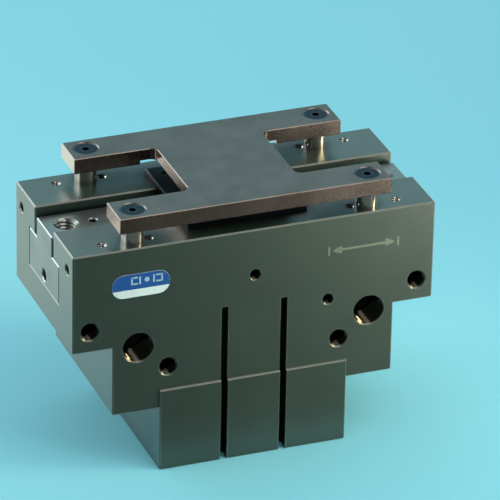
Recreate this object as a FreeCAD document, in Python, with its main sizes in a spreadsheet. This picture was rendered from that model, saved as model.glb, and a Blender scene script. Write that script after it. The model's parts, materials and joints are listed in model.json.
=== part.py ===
# Pneumatic parallel gripper with a stepped aluminium body, two sliding jaws,
# a wedge hook on a vertical piston and a sprung pusher plate on four posts.
# Millimetres, +Z up, X along the jaws' travel. The origin is the middle of the
# base's underside, and the jaws stand open, flush with the ends of the body.
import FreeCAD, Part
import math
import os
import re

import Sketcher

doc = FreeCAD.newDocument("ParallelGripper")

# Driving dimensions: name, value in millimetres, what it is.
SIZES = [
    ("body_length", 151.6, "length of the body's top slab along X"),
    ("body_depth", 69.8, "depth of the slab and of the waist"),
    ("body_height", 100.7, "underside of the base to the tops of the rails"),
    ("slab_height", 42.7, "height of the top slab"),
    ("waist_length", 118.4, "length of the waist below the slab"),
    ("base_length", 79.2, "length of the base"),
    ("base_depth", 71.8, "depth of the base, proud of the waist front and back"),
    ("base_height", 27.8, "height of the base below the waist"),
    ("base_face_height", 36.2, "height of the base's proud front and back faces"),
    ("edge_chamfer", 0.5, "chamfer on the outer edges of the body"),
    ("neck_width", 22.5, "width of the T-slot between the rails"),
    ("neck_depth", 12.2, "rail tops down to the wide part of the T-slot"),
    ("slot_width", 36, "width of the wide part of the T-slot"),
    ("slot_depth", 28.8, "rail tops down to the floor of the T-slot"),
    ("jaw_recess", 3.6, "rail tops down to the tops of the jaws"),
    ("jaw_neck_width", 18.4, "width of a jaw between the rails"),
    ("slide_fit", 0.05, "clearance at each sliding face of a jaw"),
    ("jaw_chamfer", 0.4, "chamfer on the edges of a jaw's top and outer end"),
    ("jaw_stroke", 8, "travel of each jaw"),
    ("jaw_thread_bore", 8.5, "bore of the M10 finger thread in a jaw"),
    ("jaw_thread_mouth", 10.2, "countersink of the finger thread"),
    ("jaw_thread_depth", 18, "depth of the finger thread"),
    ("jaw_thread_inset", 9.2, "end of the jaw to the finger thread"),
    ("jaw_dowel_bore", 3.2, "dowel hole in a jaw"),
    ("jaw_dowel_mouth", 4.1, "countersink of the dowel hole"),
    ("jaw_dowel_depth", 8, "depth of the dowel hole"),
    ("jaw_dowel_inset", 20.3, "end of the jaw to the dowel hole"),
    ("jaw_end_bore", 5, "bore of the M6 thread in a jaw's end"),
    ("jaw_end_depth", 12, "depth of the thread in a jaw's end"),
    ("jaw_end_height", 4.1, "slot floor to the thread in a jaw's end"),
    ("wedge_slope", 0.5, "jaw travel for each millimetre of piston travel"),
    ("wedge_top_half", 11, "half length of the wedge at its top"),
    ("wedge_height", 34, "height of the wedge"),
    ("wedge_width", 22, "width of the wedge across the slot"),
    ("wedge_gap", 0.5, "clearance round the wedge in its well"),
    ("hook_stem_width", 8, "width of the hook's stem"),
    ("hook_stem_length", 2.5, "length of the hook's stem along X"),
    ("hook_head_width", 14, "width of the hook's head"),
    ("hook_head_length", 3, "length of the hook's head along X"),
    ("hook_fit", 0.1, "clearance at each face of the hooks"),
    ("rod_diameter", 20, "piston rod"),
    ("cylinder_bore", 50, "bore of the cylinder"),
    ("piston_fit", 0.1, "radial clearance of the piston in the cylinder"),
    ("piston_thickness", 11, "thickness of the piston"),
    ("piston_gap", 0.5, "clearance at each end of the piston's travel"),
    ("seal_width", 2.2, "width of a piston seal"),
    ("seal_depth", 3, "radial depth of a piston seal"),
    ("magnet_width", 2.6, "width of the piston's ring magnet"),
    ("cover_thickness", 6, "thickness of the cylinder cover"),
    ("cover_seal_width", 2.4, "width of the O-ring groove in the cylinder cover"),
    ("cover_seal_depth", 1.8, "depth of the O-ring groove in the cylinder cover"),
    ("circlip_inset", 1.2, "base's underside to the retaining ring"),
    ("circlip_thickness", 2, "thickness of the retaining ring"),
    ("circlip_diameter", 53, "outer diameter of the retaining ring"),
    ("circlip_width", 3.4, "radial width of the retaining ring"),
    ("circlip_gap", 16, "opening between the retaining ring's ends"),
    ("circlip_lug", 6.4, "diameter of the retaining ring's two lugs"),
    ("circlip_eye", 2.2, "plier hole in each lug"),
    ("rod_fit", 0.03, "radial clearance of the rod in its bush"),
    ("bush_wall", 2, "wall of the rod bush"),
    ("rod_seal_wall", 4, "radial depth of the rod seal"),
    ("rod_seal_height", 3.3, "height of the rod seal"),
    ("piston_screw_diameter", 6, "shank of the piston screw"),
    ("piston_screw_head", 10, "head diameter of the piston screw"),
    ("piston_screw_head_height", 6, "head height of the piston screw"),
    ("piston_screw_grip", 14, "length of the piston screw in the rod"),
    ("piston_screw_socket", 5, "hex socket of the piston screw, across flats"),
    ("post_diameter", 9, "guide post of the pusher plate"),
    ("post_pitch_x", 98, "spacing of the posts along X"),
    ("post_pitch_y", 55.7, "spacing of the posts along Y"),
    ("post_fit", 0.05, "radial clearance of a post in its bore"),
    ("post_bore_depth", 34.5, "depth of the post bores below the rail tops"),
    ("pusher_travel", 5, "travel of the pusher plate"),
    ("spring_length", 14, "length of a post spring as shown"),
    ("spring_diameter", 8, "outer diameter of a post spring"),
    ("spring_wire", 1.2, "width of the spring's flat wire"),
    ("spring_wire_height", 1, "height of the spring's flat wire"),
    ("spring_turns", 5, "turns of a post spring"),
    ("stop_depth", 8.4, "rail tops down to the stop screws"),
    ("stop_bore", 4.2, "bore of the M5 threads for the stop screws"),
    ("stop_length", 12, "length of a stop screw with its dog point"),
    ("stop_point_diameter", 3, "diameter of the dog point"),
    ("stop_point_length", 3, "length of the dog point"),
    ("stop_socket", 2.5, "hex socket of a stop screw, across flats"),
    ("stop_groove_depth", 2, "depth of the stop groove in a post"),
    ("stop_groove_fit", 0.1, "clearance each side of the dog point"),
    ("stop_end_gap", 0.25, "clearance past the dog point at each end of the travel"),
    ("plate_gap", 7.1, "rail tops up to the pusher plate"),
    ("plate_thickness", 6.6, "thickness of the pusher plate"),
    ("plate_length", 113.2, "length of the pusher plate"),
    ("plate_depth", 70.5, "depth of the pusher plate"),
    ("arm_width", 15.8, "width of the pusher plate's two arms"),
    ("web_length", 44.9, "length of the web between the arms"),
    ("relief_fit", 4, "clearance round the guard in the plate's underside"),
    ("relief_depth", 1.8, "depth of the relief for the guard in the plate's underside"),
    ("plate_fillet", 3, "inner corners of the pusher plate"),
    ("plate_chamfer", 0.3, "edges of the pusher plate"),
    ("plate_screw_head", 10, "head diameter of a plate screw"),
    ("plate_screw_hole", 5.3, "clearance hole for a plate screw"),
    ("plate_screw_sink", 0.3, "plate's top down to the head of a plate screw"),
    ("plate_screw_core", 4.2, "thread core of a plate screw"),
    ("plate_screw_length", 12, "length of a plate screw"),
    ("plate_screw_socket", 3, "hex socket of a plate screw, across flats"),
    ("guard_size", 50, "side of the square guard over the wedge"),
    ("guard_height", 2.2, "height of the guard above the rail tops"),
    ("guard_rib_depth", 3, "depth of the guard's rib in the slot"),
    ("guard_rib_fit", 0.1, "clearance each side of the guard's rib"),
    ("guard_chamfer", 0.5, "top edges of the guard"),
    ("guard_gap", 0.3, "wedge's top to the guard's rib"),
    ("guard_screw_pitch", 38, "spacing of the guard screws"),
    ("guard_screw_head", 5.5, "head diameter of a guard screw"),
    ("guard_screw_core", 2.5, "thread core of a guard screw"),
    ("guard_screw_length", 8, "length of a guard screw"),
    ("guard_screw_socket", 2, "hex socket of a guard screw, across flats"),
    ("side_thread_bore", 6.8, "bore of the M8 mounting threads in the front"),
    ("side_thread_depth", 14, "depth of the mounting threads"),
    ("side_thread_chamfer", 0.8, "countersink round the mounting threads"),
    ("side_thread_x_outer", 68.7, "outer mounting threads from the middle"),
    ("side_thread_drop_outer", 33.7, "outer mounting threads below the rail tops"),
    ("side_thread_x_inner", 36, "inner mounting threads from the middle"),
    ("side_thread_drop_inner", 54.6, "inner mounting threads below the rail tops"),
    ("port_bore", 12.6, "bore of the air ports at the root of the thread"),
    ("port_mouth", 13.4, "mouth of the air ports"),
    ("port_depth", 13, "depth of the air ports"),
    ("port_x", 48.6, "air ports from the middle"),
    ("port_drop", 44, "air ports below the rail tops"),
    ("small_thread_bore", 4.2, "bore of the two M5 threads in the front"),
    ("small_thread_depth", 12, "depth of the two M5 threads in the front"),
    ("small_thread_x_right", 31.1, "right M5 thread from the middle"),
    ("small_thread_drop_right", 36.1, "right M5 thread below the rail tops"),
    ("small_thread_drop_middle", 19.9, "middle M5 thread below the rail tops"),
    ("rail_thread_bore", 3.3, "bore of the M4 threads in the rail tops"),
    ("rail_thread_depth", 5, "depth of the M4 threads in the rail tops"),
    ("rail_thread_x_outer", 61.5, "outer rail threads from the middle"),
    ("rail_thread_x_inner", 42.1, "inner rail threads from the middle"),
    ("foot_thread_bore", 5, "bore of the M6 threads in the underside"),
    ("foot_thread_depth", 12, "depth of the M6 threads in the underside"),
    ("foot_pitch_x", 64, "spacing of the underside threads along X"),
    ("foot_pitch_y", 56, "spacing of the underside threads along Y"),
    ("sensor_slot_x", 12.45, "sensor slots from the middle"),
    ("sensor_mouth", 2.9, "mouth of a sensor slot"),
    ("sensor_bore", 4.2, "round channel of a sensor slot"),
    ("sensor_centre_depth", 3.4, "waist's front to the middle of the channel"),
    ("sensor_slot_drop", 32.1, "rail tops down to the top of the sensor slots"),
    ("head_clearance", 0.4, "clearance round a screw's head"),
    ("thread_runout", 1, "depth of a blind thread past its screw"),
    ("socket_ratio", 0.6, "depth of a countersunk screw's socket over its width"),
    ("seal_fit", 0.05, "clearance of the seals and the cylinder cover in the bore"),
    ("post_chamfer", 0.5, "lower edge of a post"),
    ("mouth_chamfer", 0.9, "countersink round the tapped holes"),
]

# Places that follow from the driving dimensions.
PLACES = [
    ("half_length", "body_length / 2"),
    ("half_depth", "body_depth / 2"),
    ("slab_bottom", "body_height - slab_height"),
    ("neck_bottom", "body_height - neck_depth"),
    ("slot_floor", "body_height - slot_depth"),
    ("jaw_top", "body_height - jaw_recess"),
    ("jaw_bottom", "slot_floor + slide_fit"),
    ("jaw_shoulder", "neck_bottom - slide_fit"),
    ("piston_stroke", "jaw_stroke / wedge_slope"),
    ("rib_bottom", "body_height - guard_rib_depth"),
    ("wedge_top", "rib_bottom - guard_gap"),
    ("wedge_bottom", "wedge_top - wedge_height"),
    ("wedge_bottom_half", "wedge_top_half + wedge_slope * wedge_height"),
    ("well_floor", "wedge_bottom - piston_stroke - wedge_gap"),
    ("cover_bottom", "circlip_inset + circlip_thickness"),
    ("cover_top", "cover_bottom + cover_thickness"),
    ("cylinder_top", "cover_top + 2 * piston_gap + piston_thickness + piston_stroke"),
    ("piston_top", "cylinder_top - piston_gap"),
    ("piston_bottom", "piston_top - piston_thickness"),
    ("piston_land", "(piston_thickness - 2 * seal_width - magnet_width) / 4"),
    ("piston_radius", "cylinder_bore / 2 - piston_fit"),
    ("screw_seat", "piston_bottom + piston_screw_head_height + head_clearance"),
    ("rod_seal_top", "cylinder_top + rod_seal_height"),
    ("post_bore_floor", "body_height - post_bore_depth"),
    ("post_bottom", "post_bore_floor + spring_length"),
    ("plate_bottom", "body_height + plate_gap"),
    ("plate_top", "plate_bottom + plate_thickness"),
    ("stop_height", "body_height - stop_depth"),
    ("stop_tip", "post_pitch_x / 2 + post_diameter / 2 - stop_groove_depth + stop_end_gap"),
    ("guard_top", "body_height + guard_height"),
]

# Which side of the middle each corner lies on, along X and along Y.
CORNERS = {
    "front_left": (-1, -1),
    "front_right": (1, -1),
    "back_left": (-1, 1),
    "back_right": (1, 1),
}

STEEP = 90  # full angle of every countersink, in degrees
ROUGH = 5  # how far out a sketch's lines start, before its rules place them
NEAR = 1e-4  # lengths closer than this are the same
LEAST_CUT = 0.01  # a cut takes away at least this volume


SHEET_OF = {name: "Sizes" for name, _, _ in SIZES}
SHEET_OF.update({name: "Places" for name, _ in PLACES})


def fill_sheets():
    """Writes the driving dimensions and the places that follow from them."""
    sizes = doc.addObject("Spreadsheet::Sheet", "Sizes")
    for row, (name, value, note) in enumerate(SIZES, start=1):
        sizes.set(f"A{row}", note)
        sizes.set(f"B{row}", str(value))
        sizes.setAlias(f"B{row}", name)
    places = doc.addObject("Spreadsheet::Sheet", "Places")
    for row, (name, text) in enumerate(PLACES, start=1):
        places.set(f"A{row}", name.replace("_", " "))
        places.set(f"B{row}", "=" + formula(text, own_sheet="Places"))
        places.setAlias(f"B{row}", name)
    doc.recompute()
    return sizes


def formula(text, own_sheet=""):
    """Puts its sheet's name in front of each size or place in a formula."""
    def with_sheet(found):
        name = found.group(0)
        sheet = SHEET_OF.get(name, own_sheet)
        return name if sheet == own_sheet else f"{sheet}.{name}"
    return re.sub(r"[a-z][a-z0-9_]*", with_sheet, str(text))


def new_body(label):
    """Starts one piece of the gripper."""
    body = doc.addObject("PartDesign::Body", label)
    body.Label = label
    return body


def new_sketch(body, name, plane, lift="0"):
    """Starts a sketch on one of the body's own planes, lifted along its normal."""
    sketch = body.newObject("Sketcher::SketchObject", body.Label + "_" + name)
    support = next(f for f in body.Origin.OriginFeatures if f.Role == plane)
    sketch.AttachmentSupport = [(support, "")]
    sketch.MapMode = "FlatFace"
    sketch.setExpression("AttachmentOffset.Base.z", formula(lift))
    return sketch


def pin_point(sketch, item, point, spot, across, up):
    """Ties one point of a sketch to a place given by two formulas."""
    for kind, axis, value, text in (("DistanceX", -2, spot.x, across),
                                    ("DistanceY", -1, spot.y, up)):
        if str(text) == "0":
            sketch.addConstraint(Sketcher.Constraint("PointOnObject", item, point, axis))
            continue
        rule = Sketcher.Constraint(kind, -1, 1, item, point, value)
        index = sketch.addConstraint(rule)
        sketch.setExpression(f"Constraints[{index}]", formula(text))


def add_outline(sketch, corners):
    """Adds a closed outline of straight lines through the corners."""
    count = len(corners)
    first = sketch.GeometryCount
    spots = []
    for index in range(count):
        turn = 2 * math.pi * (index + 0.5) / count
        spots.append(FreeCAD.Vector(ROUGH * math.cos(turn), ROUGH * math.sin(turn), 0))
    for index in range(count):
        line = Part.LineSegment(spots[index], spots[(index + 1) % count])
        sketch.addGeometry(line, False)
    for index in range(count):
        before = first + (index - 1) % count
        joint = Sketcher.Constraint("Coincident", before, 2, first + index, 1)
        sketch.addConstraint(joint)
        pin_point(sketch, first + index, 1, spots[index], *corners[index])


def add_box(sketch, left, right, low, high):
    """Adds a rectangle between four formulas."""
    add_outline(sketch, [(left, low), (right, low), (right, high), (left, high)])


def add_circle(sketch, diameter, across="0", up="0"):
    """Adds a circle with its centre given by two formulas."""
    centre = FreeCAD.Vector(ROUGH, ROUGH, 0)
    ring = Part.Circle(centre, FreeCAD.Vector(0, 0, 1), ROUGH / 2)
    item = sketch.addGeometry(ring, False)
    pin_point(sketch, item, 3, centre, across, up)
    index = sketch.addConstraint(Sketcher.Constraint("Diameter", item, ROUGH))
    sketch.setExpression(f"Constraints[{index}]", formula(diameter))


def add_hexagon(sketch, flats):
    """Adds a hexagon across the sketch's origin."""
    point, side = f"{flats} / sqrt(3)", f"{flats} / sqrt(12)"
    half = f"{flats} / 2"
    add_outline(sketch, [(point, "0"), (side, half), (f"-{side}", half), (f"-{point}", "0"),
                         (f"-{side}", f"-{half}"), (side, f"-{half}")])


def extrude(kind, body, sketch, length, both_ways=False, reverse=False):
    """Makes a Pad or a Pocket from a sketch."""
    feature = body.newObject("PartDesign::" + kind, f"{sketch.Name}_{kind.lower()}")
    feature.Profile = sketch
    feature.SideType = "Symmetric" if both_ways else "One side"
    feature.Reversed = reverse
    feature.setExpression("Length", formula(length))
    return feature


def pad(body, sketch, length, **ways):
    return extrude("Pad", body, sketch, length, **ways)


def pocket(body, sketch, length, **ways):
    return extrude("Pocket", body, sketch, length, **ways)


def turn_profile(body, corners, kind="Revolution", name="profile"):
    """Turns an outline, given as radius and height, about the Z axis."""
    sketch = new_sketch(body, name, "XZ_Plane")
    add_outline(sketch, corners)
    feature = body.newObject("PartDesign::" + kind, f"{sketch.Name}_turned")
    feature.Profile = sketch
    feature.ReferenceAxis = (sketch, ["V_Axis"])
    feature.Angle = 360
    return feature


def drill(body, sketch, bore, depth=None, mouth=None, flat=False, reverse=False):
    """Makes a drilled hole at each circle of a sketch, countersunk if mouth is given."""
    doc.recompute()
    hole = body.newObject("PartDesign::Hole", sketch.Name + "_hole")
    hole.Profile = sketch
    doc.recompute()
    hole.Reversed = reverse
    hole.Threaded = False
    hole.DepthType = "Dimension" if depth else "ThroughAll"
    hole.DrillPoint = "Flat" if flat else "Angled"
    hole.setExpression("Diameter", formula(bore))
    if depth:
        hole.setExpression("Depth", formula(depth))
    if mouth:
        hole.HoleCutType = "Countersink"
        hole.HoleCutCustomValues = True
        hole.setExpression("HoleCutDiameter", formula(mouth))
        hole.HoleCutCountersinkAngle = STEEP
    return hole


def chamfer(body, base, size, keep):
    """Chamfers the edges of a feature for which keep says yes."""
    doc.recompute()
    edges = [f"Edge{i}" for i, edge in enumerate(base.Shape.Edges, start=1) if keep(edge)]
    if not edges:
        raise RuntimeError("no edge to chamfer on " + base.Name)
    feature = body.newObject("PartDesign::Chamfer", base.Name + "_chamfer")
    feature.Base = (base, edges)
    feature.setExpression("Size", formula(size))
    return feature


def place(body, across="0", along="0", up="0", turn=0, axis=(0, 0, 1)):
    """Puts a body at a place given by three formulas, turned about an axis."""
    turned = FreeCAD.Rotation(FreeCAD.Vector(*axis), turn)
    body.Placement = FreeCAD.Placement(FreeCAD.Vector(), turned)
    for letter, text in (("x", across), ("y", along), ("z", up)):
        body.setExpression(f"Placement.Base.{letter}", formula(text))


def lies_at(edge, axis, value):
    """Says whether all of an edge lies at one coordinate."""
    box = edge.BoundBox
    low = getattr(box, axis + "Min")
    high = getattr(box, axis + "Max")
    return abs(low - value) < NEAR and abs(high - value) < NEAR


def housing(sizes):
    """The stepped body: slab, waist and base, T-slot, cylinder and all its holes."""
    body = new_body("housing")
    stepped = new_sketch(body, "stepped", "XZ_Plane")
    half_waist, half_base = "waist_length / 2", "base_length / 2"
    right = [("half_length", "body_height"), ("half_length", "slab_bottom"),
             (half_waist, "slab_bottom"), (half_waist, "base_height"),
             (half_base, "base_height"), (half_base, "0")]
    left = [(f"-{across}", up) for across, up in reversed(right)]
    add_outline(stepped, right + left)
    pad(body, stepped, "body_depth", both_ways=True)
    face = new_sketch(body, "base_face", "XY_Plane")
    add_box(face, f"-{half_base}", half_base, "-base_depth / 2", "base_depth / 2")
    block = pad(body, face, "base_face_height")
    chamfer(body, block, "edge_chamfer", lambda edge: outer_edge(edge, sizes))

    cut_slots(body, sizes)
    cut_cylinder(body)
    drill_sides(body)
    drill_top(body)
    drill_ends(body)

    feet = new_sketch(body, "feet", "XY_Plane")
    for side_x, side_y in CORNERS.values():
        add_circle(feet, "foot_thread_bore",
                   f"{side_x} * foot_pitch_x / 2", f"{side_y} * foot_pitch_y / 2")
    drill(body, feet, "foot_thread_bore", "foot_thread_depth",
          "foot_thread_bore + mouth_chamfer", reverse=True)
    return body


def outer_edge(edge, sizes):
    """Picks the convex outer edges of the stepped body and its proud base."""
    middle = edge.BoundBox.Center
    front = sizes.body_depth / 2
    on_base = abs(middle.x) <= sizes.base_length / 2 + NEAR
    if lies_at(edge, "Y", -sizes.base_depth / 2) or lies_at(edge, "Y", sizes.base_depth / 2):
        return True
    if lies_at(edge, "Y", -front) or lies_at(edge, "Y", front):
        return not (on_base and middle.z < sizes.base_face_height + NEAR)
    if abs(middle.y) > NEAR:
        return False
    top = lies_at(edge, "Z", sizes.body_height)
    slab_end = lies_at(edge, "X", sizes.body_length / 2) or lies_at(edge, "X", -sizes.body_length / 2)
    waist_end = lies_at(edge, "X", sizes.waist_length / 2) or lies_at(edge, "X", -sizes.waist_length / 2)
    foot = lies_at(edge, "Z", 0)
    return (top or slab_end or foot or (waist_end and lies_at(edge, "Z", sizes.base_height)))


def flare_slot(body):
    """Chamfers the edges of the T-slot at both ends of the body."""
    half_neck, half_slot = "(neck_width / 2 + edge_chamfer)", "(slot_width / 2 + edge_chamfer)"
    ceiling, floor = "neck_bottom + edge_chamfer", "slot_floor - edge_chamfer"
    right = [(half_neck, "body_height + edge_chamfer"), (half_neck, ceiling),
             (half_slot, ceiling), (half_slot, floor)]
    left = [(f"-{across}", up) for across, up in reversed(right)]
    for name, turned in (("left", True), ("right", False)):
        lift = "-half_length" if turned else "half_length"
        flare = new_sketch(body, name + "_flare", "YZ_Plane", lift)
        add_outline(flare, right + left)
        cut = pocket(body, flare, "edge_chamfer", reverse=turned)
        cut.TaperAngle = -STEEP / 2


def cut_slots(body, sizes):
    """The T-slot for the jaws, the wedge's well and the two sensor slots."""
    slot = new_sketch(body, "slot", "YZ_Plane")
    right = [("neck_width / 2", "body_height"), ("neck_width / 2", "neck_bottom"),
             ("slot_width / 2", "neck_bottom"), ("slot_width / 2", "slot_floor")]
    left = [(f"-{across}", up) for across, up in reversed(right)]
    add_outline(slot, right + left)
    cut = pocket(body, slot, "body_length", both_ways=True)
    chamfer(body, cut, "edge_chamfer", lambda edge: lies_at(edge, "Z", sizes.body_height)
            and abs(abs(edge.BoundBox.Center.y) - sizes.neck_width / 2) < NEAR)
    flare_slot(body)

    well = new_sketch(body, "well", "XY_Plane", "well_floor")
    reach = "(wedge_bottom_half + wedge_gap)"
    add_box(well, f"-{reach}", reach, "-neck_width / 2", "neck_width / 2")
    pocket(body, well, "slot_floor - well_floor", reverse=True)

    mouths = new_sketch(body, "sensor_mouths", "XY_Plane")
    channels = new_sketch(body, "sensor_channels", "XY_Plane")
    centre = "(-half_depth + sensor_centre_depth)"
    for side in (-1, 1):
        middle = f"{side} * sensor_slot_x"
        add_box(mouths, f"{middle} - sensor_mouth / 2", f"{middle} + sensor_mouth / 2",
                "-base_depth / 2", centre)
        add_circle(channels, "sensor_bore", middle, centre)
    for sketch in (mouths, channels):
        pocket(body, sketch, "body_height - sensor_slot_drop", reverse=True)


def cut_cylinder(body):
    """The cylinder with its retaining-ring groove, rod seal pocket and bush bore."""
    bore = "cylinder_bore / 2"
    groove = "circlip_diameter / 2"
    seal = "rod_diameter / 2 + rod_seal_wall"
    bush = "rod_diameter / 2 + bush_wall"
    turn_profile(body, [
        ("0", "0"), (bore, "0"), (bore, "circlip_inset"), (groove, "circlip_inset"),
        (groove, "cover_bottom"), (bore, "cover_bottom"), (bore, "cylinder_top"),
        (seal, "cylinder_top"), (seal, "rod_seal_top"), (bush, "rod_seal_top"),
        (bush, "well_floor"), ("0", "well_floor")], kind="Groove", name="cylinder")


def drill_sides(body):
    """Mounting threads, air ports and two small threads, all in the front."""
    threads = new_sketch(body, "front_threads", "XZ_Plane", "half_depth")
    for side in (-1, 1):
        add_circle(threads, "side_thread_bore", f"{side} * side_thread_x_outer",
                   "body_height - side_thread_drop_outer")
        add_circle(threads, "side_thread_bore", f"{side} * side_thread_x_inner",
                   "body_height - side_thread_drop_inner")
    drill(body, threads, "side_thread_bore", "side_thread_depth",
          "side_thread_bore + 2 * side_thread_chamfer")

    ports = new_sketch(body, "ports", "XZ_Plane", "half_depth")
    for side in (-1, 1):
        add_circle(ports, "port_bore", f"{side} * port_x", "body_height - port_drop")
    drill(body, ports, "port_bore", "port_depth", "port_mouth")

    small = new_sketch(body, "small_threads", "XZ_Plane", "half_depth")
    add_circle(small, "small_thread_bore", "0", "body_height - small_thread_drop_middle")
    add_circle(small, "small_thread_bore", "small_thread_x_right",
               "body_height - small_thread_drop_right")
    drill(body, small, "small_thread_bore", "small_thread_depth",
          "small_thread_bore + mouth_chamfer")


def drill_top(body):
    """Post bores, rail threads and the threads for the guard screws."""
    bores = new_sketch(body, "post_bores", "XY_Plane", "body_height")
    threads = new_sketch(body, "rail_threads", "XY_Plane", "body_height")
    guard = new_sketch(body, "guard_threads", "XY_Plane", "body_height")
    for side_x, side_y in CORNERS.values():
        line = f"{side_y} * post_pitch_y / 2"
        add_circle(bores, "post_diameter + 2 * post_fit", f"{side_x} * post_pitch_x / 2", line)
        add_circle(threads, "rail_thread_bore", f"{side_x} * rail_thread_x_outer", line)
        add_circle(threads, "rail_thread_bore", f"{side_x} * rail_thread_x_inner", line)
        add_circle(guard, "guard_screw_core", f"{side_x} * guard_screw_pitch / 2",
                   f"{side_y} * guard_screw_pitch / 2")
    pocket(body, bores, "post_bore_depth")
    drill(body, threads, "rail_thread_bore", "rail_thread_depth",
          "rail_thread_bore + mouth_chamfer")
    drill(body, guard, "guard_screw_core", "guard_screw_length")


def drill_ends(body):
    """The stop-screw threads, from each end of the body into the post bores."""
    for name, turned in (("left", True), ("right", False)):
        lift = "-half_length" if turned else "half_length"
        stops = new_sketch(body, name + "_stops", "YZ_Plane", lift)
        for side_y in (-1, 1):
            add_circle(stops, "stop_bore", f"{side_y} * post_pitch_y / 2", "stop_height")
        drill(body, stops, "stop_bore", "half_length - post_pitch_x / 2",
              "stop_bore + mouth_chamfer", flat=True, reverse=turned)


def guard():
    """The square guard over the wedge, with a rib that fits the slot."""
    body = new_body("wedge_guard")
    half = "guard_size / 2"
    plate = new_sketch(body, "plate", "XY_Plane", "body_height")
    add_box(plate, f"-{half}", half, f"-{half}", half)
    slab = pad(body, plate, "guard_height")
    chamfer(body, slab, "guard_chamfer", lambda edge: lies_at(edge, "Z", top_of(slab)))
    rib = new_sketch(body, "rib", "XY_Plane", "rib_bottom")
    rib_half = "(neck_width / 2 - guard_rib_fit)"
    add_box(rib, f"-{half}", half, f"-{rib_half}", rib_half)
    pad(body, rib, "guard_rib_depth")
    holes = new_sketch(body, "holes", "XY_Plane", "guard_top")
    for side_x, side_y in CORNERS.values():
        add_circle(holes, "guard_screw_core", f"{side_x} * guard_screw_pitch / 2",
                   f"{side_y} * guard_screw_pitch / 2")
    drill(body, holes, "guard_screw_core", mouth="guard_screw_head")
    return body


def top_of(feature):
    """The height of a feature's highest point."""
    return feature.Shape.BoundBox.ZMax


def sunk_screw(label, head, core, length, socket):
    """A countersunk screw with a hex socket, its head's face at the origin."""
    body = new_body(label)
    radius, shank = f"{head} / 2", f"{core} / 2"
    turn_profile(body, [("0", "0"), (radius, "0"), (shank, f"{core} / 2 - {head} / 2"),
                        (shank, f"-{length}"), ("0", f"-{length}")])
    hexagon = new_sketch(body, "socket", "XY_Plane")
    add_hexagon(hexagon, socket)
    pocket(body, hexagon, f"{socket} * socket_ratio")
    return body


def wedge_face(up, inside="0"):
    """Distance from the middle to the wedge's side, or to a depth inside it."""
    return f"(wedge_top_half + wedge_slope * (wedge_top - {up}) - ({inside}))"


def add_sloping_band(sketch, side, near, far, low, high):
    """Adds a band along the wedge's side, between two depths and two heights."""
    add_outline(sketch, [(f"{side} * {wedge_face(up, depth)}", up)
                         for up, depth in ((low, near), (high, near), (high, far), (low, far))])


def jaw(label, turn):
    """One jaw: a T-section carriage with a hooked, sloping inner end."""
    body = new_body(label)
    for name, width, low, high in (
            ("flange", "slot_width - 2 * slide_fit", "jaw_bottom", "jaw_shoulder"),
            ("neck", "jaw_neck_width", "jaw_shoulder", "jaw_top")):
        side = new_sketch(body, name, "XZ_Plane")
        add_outline(side, [(wedge_face(low, "-hook_fit"), low), ("half_length", low),
                           ("half_length", high), (wedge_face(high, "-hook_fit"), high)])
        block = pad(body, side, width, both_ways=True)
    outer_end = value_of("body_length") / 2
    chamfer(body, block, "jaw_chamfer", lambda edge: lies_at(edge, "X", outer_end)
            or (lies_at(edge, "Z", top_of(block)) and edge.BoundBox.XMax > outer_end - NEAR))

    shoulder = "hook_stem_length + hook_fit"
    for name, near, far, width in (
            ("stem", "-hook_fit", shoulder, "hook_stem_width"),
            ("head", shoulder, f"{shoulder} + hook_head_length", "hook_head_width")):
        hook = new_sketch(body, name, "XZ_Plane")
        add_sloping_band(hook, 1, near, far, "jaw_bottom", "jaw_shoulder")
        pad(body, hook, width, both_ways=True)

    for name in ("jaw_thread", "jaw_dowel"):
        top = new_sketch(body, name, "XY_Plane", "jaw_top")
        add_circle(top, f"{name}_bore", f"half_length - {name}_inset")
        drill(body, top, f"{name}_bore", f"{name}_depth", f"{name}_mouth")
    end = new_sketch(body, "end", "YZ_Plane", "half_length")
    add_circle(end, "jaw_end_bore", "0", "slot_floor + jaw_end_height")
    drill(body, end, "jaw_end_bore", "jaw_end_depth", "jaw_end_bore + mouth_chamfer")
    place(body, turn=turn)
    return body


def wedge():
    """The wedge hook: a tapered block with two sloping T-slots, on a round rod."""
    body = new_body("wedge_hook")
    block = new_sketch(body, "block", "XZ_Plane")
    add_outline(block, [("-wedge_top_half", "wedge_top"), ("wedge_top_half", "wedge_top"),
                        ("wedge_bottom_half", "wedge_bottom"),
                        ("-wedge_bottom_half", "wedge_bottom")])
    pad(body, block, "wedge_width", both_ways=True)
    rod = new_sketch(body, "rod", "XY_Plane", "piston_top")
    add_circle(rod, "rod_diameter")
    pad(body, rod, "wedge_bottom - piston_top")

    back_of_slot = "hook_stem_length + hook_head_length + 2 * hook_fit"
    for name, near, width in (("stem", "0", "hook_stem_width"),
                              ("head", "hook_stem_length", "hook_head_width")):
        slots = new_sketch(body, name + "_slots", "XZ_Plane")
        for side in (-1, 1):
            add_sloping_band(slots, side, near, back_of_slot, "wedge_bottom", "wedge_top")
        pocket(body, slots, f"{width} + 2 * hook_fit", both_ways=True)

    thread = new_sketch(body, "thread", "XY_Plane", "piston_top")
    add_circle(thread, "piston_screw_diameter")
    drill(body, thread, "piston_screw_diameter", "piston_screw_grip + thread_runout",
          reverse=True)
    return body


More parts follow.
